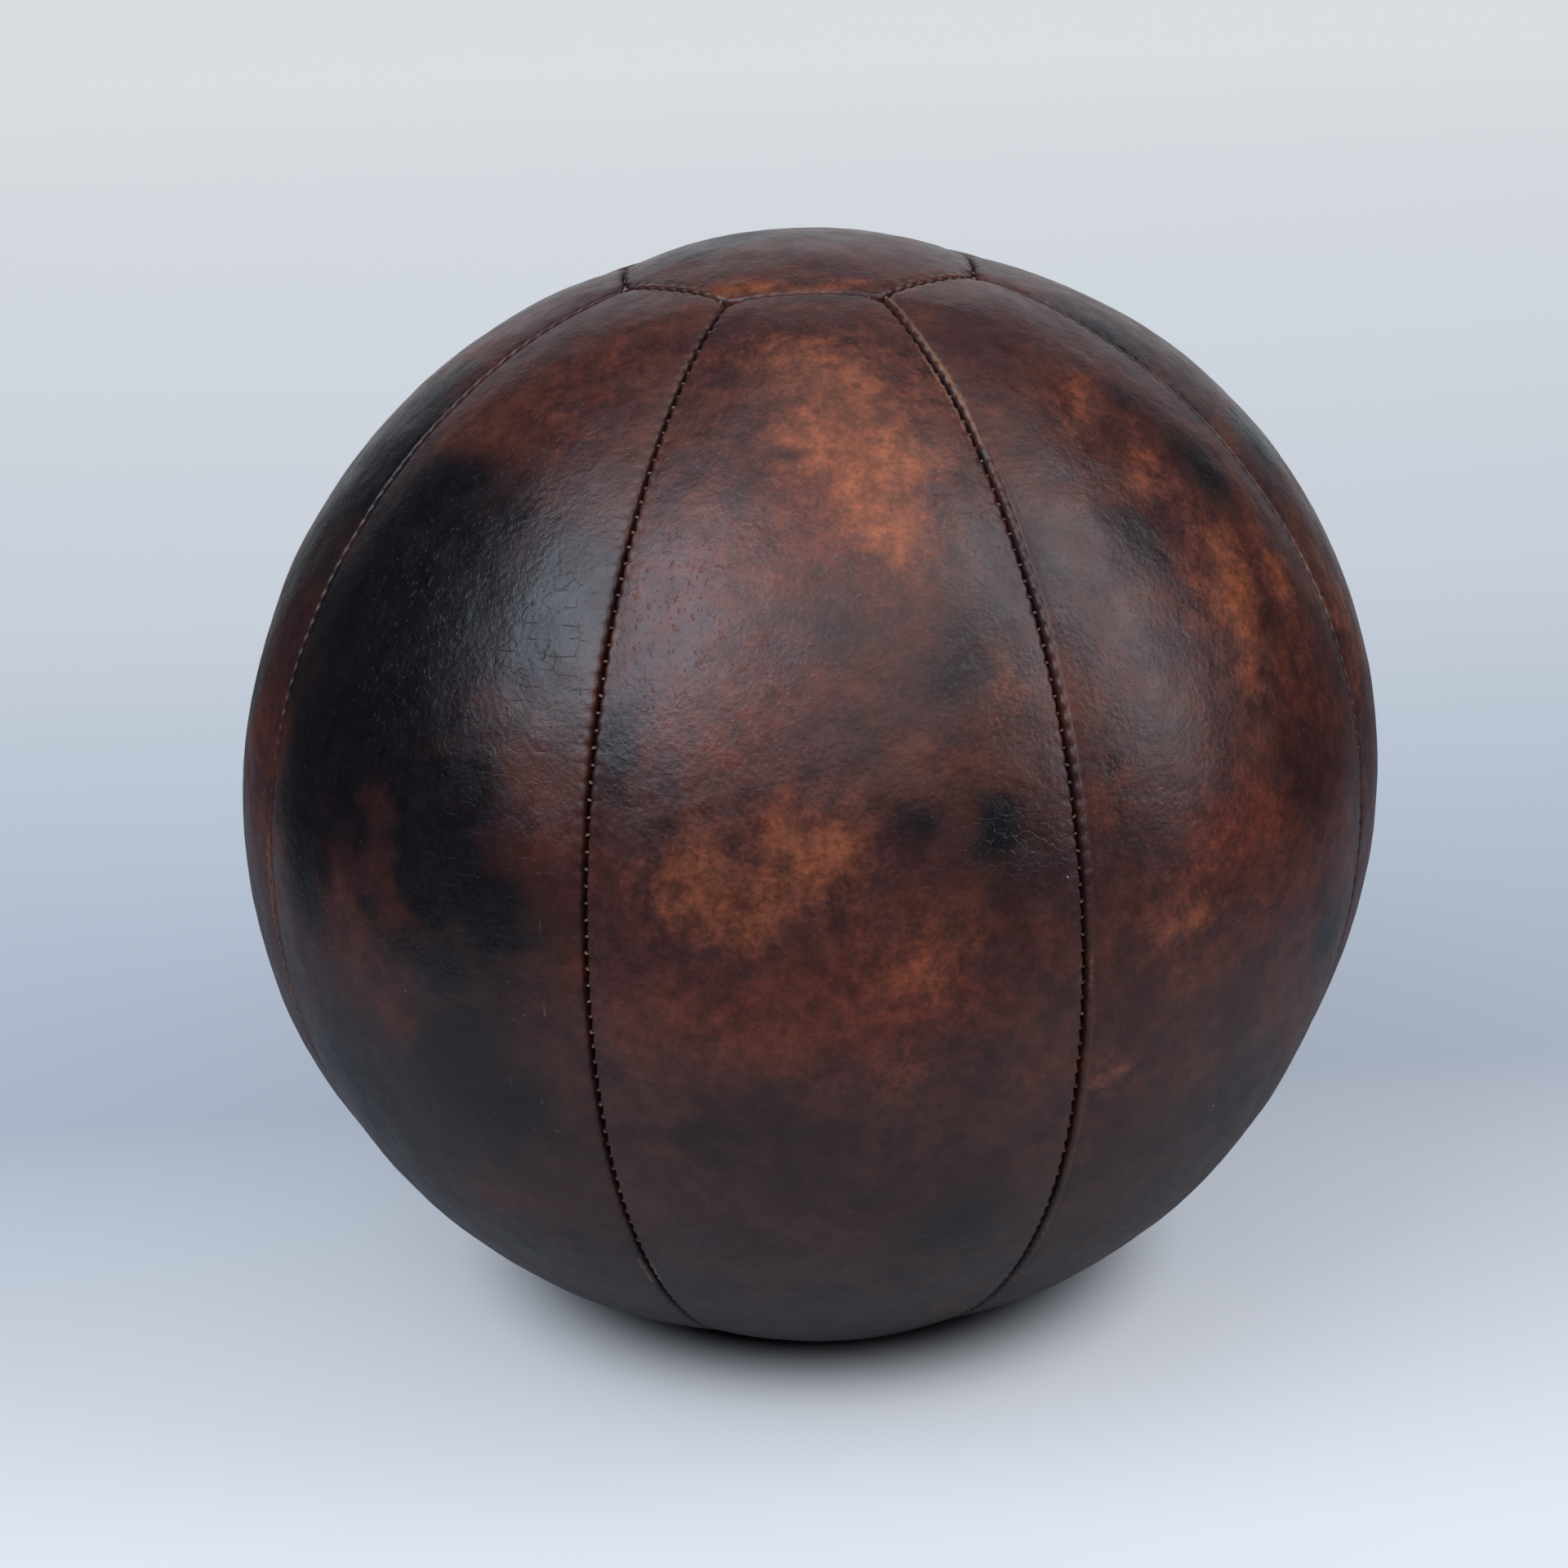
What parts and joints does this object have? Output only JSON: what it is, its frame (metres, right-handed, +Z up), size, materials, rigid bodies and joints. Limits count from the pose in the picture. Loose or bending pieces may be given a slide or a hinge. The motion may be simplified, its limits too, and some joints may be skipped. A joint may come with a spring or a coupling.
{
  "type": "medicine ball",
  "caption": "Worn brown leather medicine ball: long gore panels between two octagonal end caps, turned seams, canvas backing and a stuffed middle.",
  "frame": {"origin": "middle of the small flat patch on the underside, which the ball rests on", "axes": "+Z up through the middles of the two end caps, -Y out through the middle of the first gore, at the front"},
  "size_m": [0.3, 0.3, 0.2959],
  "materials": {
    "leather": "satin",
    "canvas": "matte",
    "thread": "satin",
    "hair": "matte",
    "rag": "matte"
  },
  "bodies": {
    "root": {"gore_panel_1": "leather", "gore_panel_2": "leather", "gore_panel_3": "leather", "gore_panel_4": "leather", "gore_panel_5": "leather", "gore_panel_6": "leather", "gore_panel_7": "leather", "gore_panel_8": "leather", "top_cap_panel": "leather", "bottom_cap_panel": "leather", "gore_lining_1": "canvas", "gore_lining_2": "canvas", "gore_lining_3": "canvas", "gore_lining_4": "canvas", "gore_lining_5": "canvas", "gore_lining_6": "canvas", "gore_lining_7": "canvas", "gore_lining_8": "canvas", "top_cap_lining": "canvas", "bottom_cap_lining": "canvas", "gore_seam_thread_1": "thread", "gore_seam_thread_2": "thread", "gore_seam_thread_3": "thread", "gore_seam_thread_4": "thread", "gore_seam_thread_5": "thread", "gore_seam_thread_6": "thread", "gore_seam_thread_7": "thread", "gore_seam_thread_8": "thread", "top_cap_thread": "thread", "bottom_cap_thread": "thread", "stuffing": "hair", "rag_core": "rag"}
  },
  "joints": []
}
